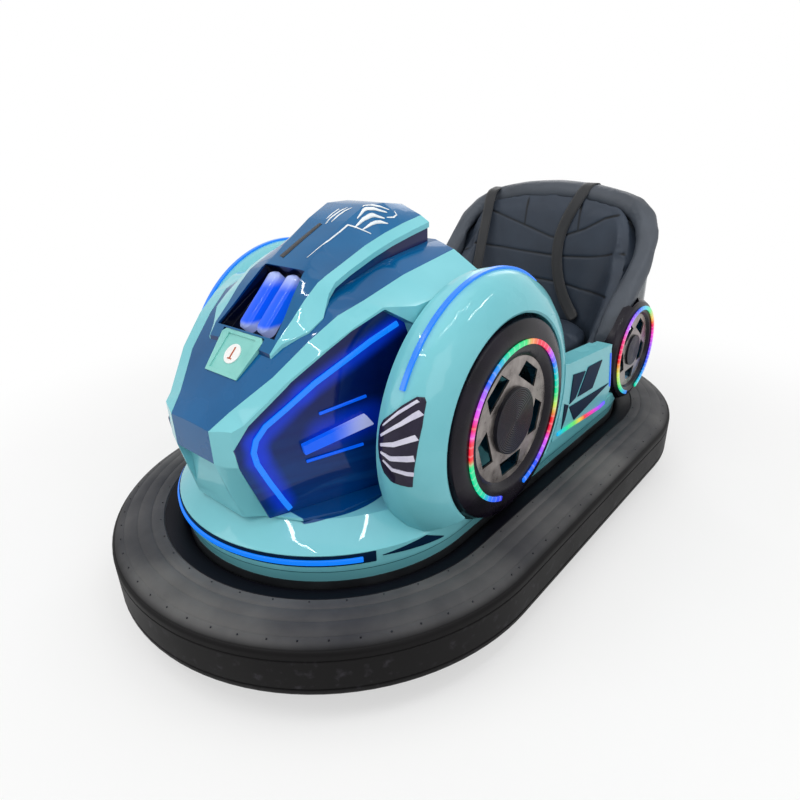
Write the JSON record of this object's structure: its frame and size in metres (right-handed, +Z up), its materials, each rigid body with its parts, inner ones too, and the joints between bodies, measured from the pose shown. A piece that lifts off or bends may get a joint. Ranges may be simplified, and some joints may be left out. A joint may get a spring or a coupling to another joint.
{
  "type": "bumper_car",
  "caption": "Fairground bumper car with an oval rubber bumper ring, a sculpted teal and blue body, show wheels on its sides and a padded bucket seat",
  "frame": {"origin": "middle of the bounding box's foot, on the ground under the centre of the bumper ring", "axes": "Z up, the front of the car faces -Y, its left side is +X"},
  "size_m": [1.15, 1.95, 0.912],
  "materials": {
    "ring_rubber": "dusty",
    "frame_steel": "satin",
    "floor_plate": "satin",
    "axle_steel": "satin",
    "battery_case": "matte",
    "roller_rubber": "matte",
    "roller_hub": "satin",
    "motor_paint": "satin",
    "hood_blue": "glossy",
    "canopy_blue": "glossy",
    "teal_gloss": "glossy",
    "navy_panel": "glossy",
    "inner_black": "matte",
    "led_blue": "lit",
    "led_ring": "lit",
    "bar_blue": "lit",
    "blade_grey": "glossy",
    "plate_blue": "glossy",
    "disc_white": "glossy",
    "grille_black": "matte",
    "slat_white": "glossy",
    "show_tyre": "glossy",
    "show_rim": "polished",
    "hub_black": "glossy",
    "tub_dark": "glossy",
    "seat_leather": "satin",
    "rim_leather": "satin",
    "belt_black": "matte",
    "wheel_black": "satin",
    "column_steel": "satin"
  },
  "bodies": {
    "car": {"ring_tyre": "ring_rubber", "bumper_rim": "frame_steel", "floor_pan": "floor_plate", "frame_rails": "frame_steel", "frame_crossmembers": "frame_steel", "drive_plate": "frame_steel", "rear_axle": "axle_steel", "axle_hangers": "frame_steel", "battery_box": "battery_case", "nose_hood": "hood_blue", "firewall": "inner_black", "nose_stripe": "teal_gloss", "side_panels": "navy_panel", "panel_led": "led_blue", "panel_blades": "blade_grey", "number_plate": "plate_blue", "number_disc": "disc_white", "canopy_fins": "teal_gloss", "canopy": "canopy_blue", "intake_bars": "bar_blue", "fender_left": "teal_gloss", "fender_right": "teal_gloss", "fender_grilles": "grille_black", "grille_slats": "slat_white", "fender_led": "led_blue", "front_show_tyres": "show_tyre", "rear_show_tyres": "show_tyre", "front_show_rims": "show_rim", "rear_show_rims": "show_rim", "seat_rim": "rim_leather", "seat_tub": "tub_dark", "seat_back": "seat_leather", "seat_cushion": "seat_leather", "seat_base": "inner_black", "belt_left": "belt_black", "belt_right": "belt_black", "sill_left": "teal_gloss", "sill_right": "teal_gloss", "sill_insets": "navy_panel", "sill_led": "led_ring", "show_hubs": "hub_black", "wheel_led": "led_ring", "skirt": "teal_gloss", "footwell_wall": "inner_black", "skirt_channel": "navy_panel", "skirt_led": "led_blue", "skirt_inserts": "navy_panel", "steering_column": "column_steel", "pedal": "wheel_black"},
    "steering": {"steering_wheel": "wheel_black"},
    "drive_unit": {"drive_fork": "frame_steel", "drive_motor": "motor_paint"},
    "drive_wheel": {"drive_tyre": "roller_rubber", "drive_hub": "roller_hub"},
    "rear_roller_left": {"rear_roller_tyre_left": "roller_rubber", "rear_roller_hub_left": "roller_hub"},
    "rear_roller_right": {"rear_roller_tyre_right": "roller_rubber", "rear_roller_hub_right": "roller_hub"}
  },
  "joints": [
    {"name": "steering_turn", "type": "hinge", "parent": "car", "child": "steering", "pos_m": [0, -0.035, 0.69], "axis": [0, 0.6428, 0.766], "continuous": true},
    {"name": "drive_yaw", "type": "hinge", "parent": "car", "child": "drive_unit", "pos_m": [0, -0.47, 0.15], "axis": [0, 0, 1], "continuous": true},
    {"name": "drive_roll", "type": "hinge", "parent": "drive_unit", "child": "drive_wheel", "pos_m": [0, -0.47, 0.085], "axis": [1, 0, 0], "continuous": true},
    {"name": "rear_roll_left", "type": "hinge", "parent": "car", "child": "rear_roller_left", "pos_m": [0.27, 0.42, 0.075], "axis": [1, 0, 0], "continuous": true},
    {"name": "rear_roll_right", "type": "hinge", "parent": "car", "child": "rear_roller_right", "pos_m": [-0.27, 0.42, 0.075], "axis": [1, 0, 0], "continuous": true}
  ],
  "couplings": [
    {"joint": "steering_turn", "follows": "drive_yaw", "ratio": 1}
  ]
}
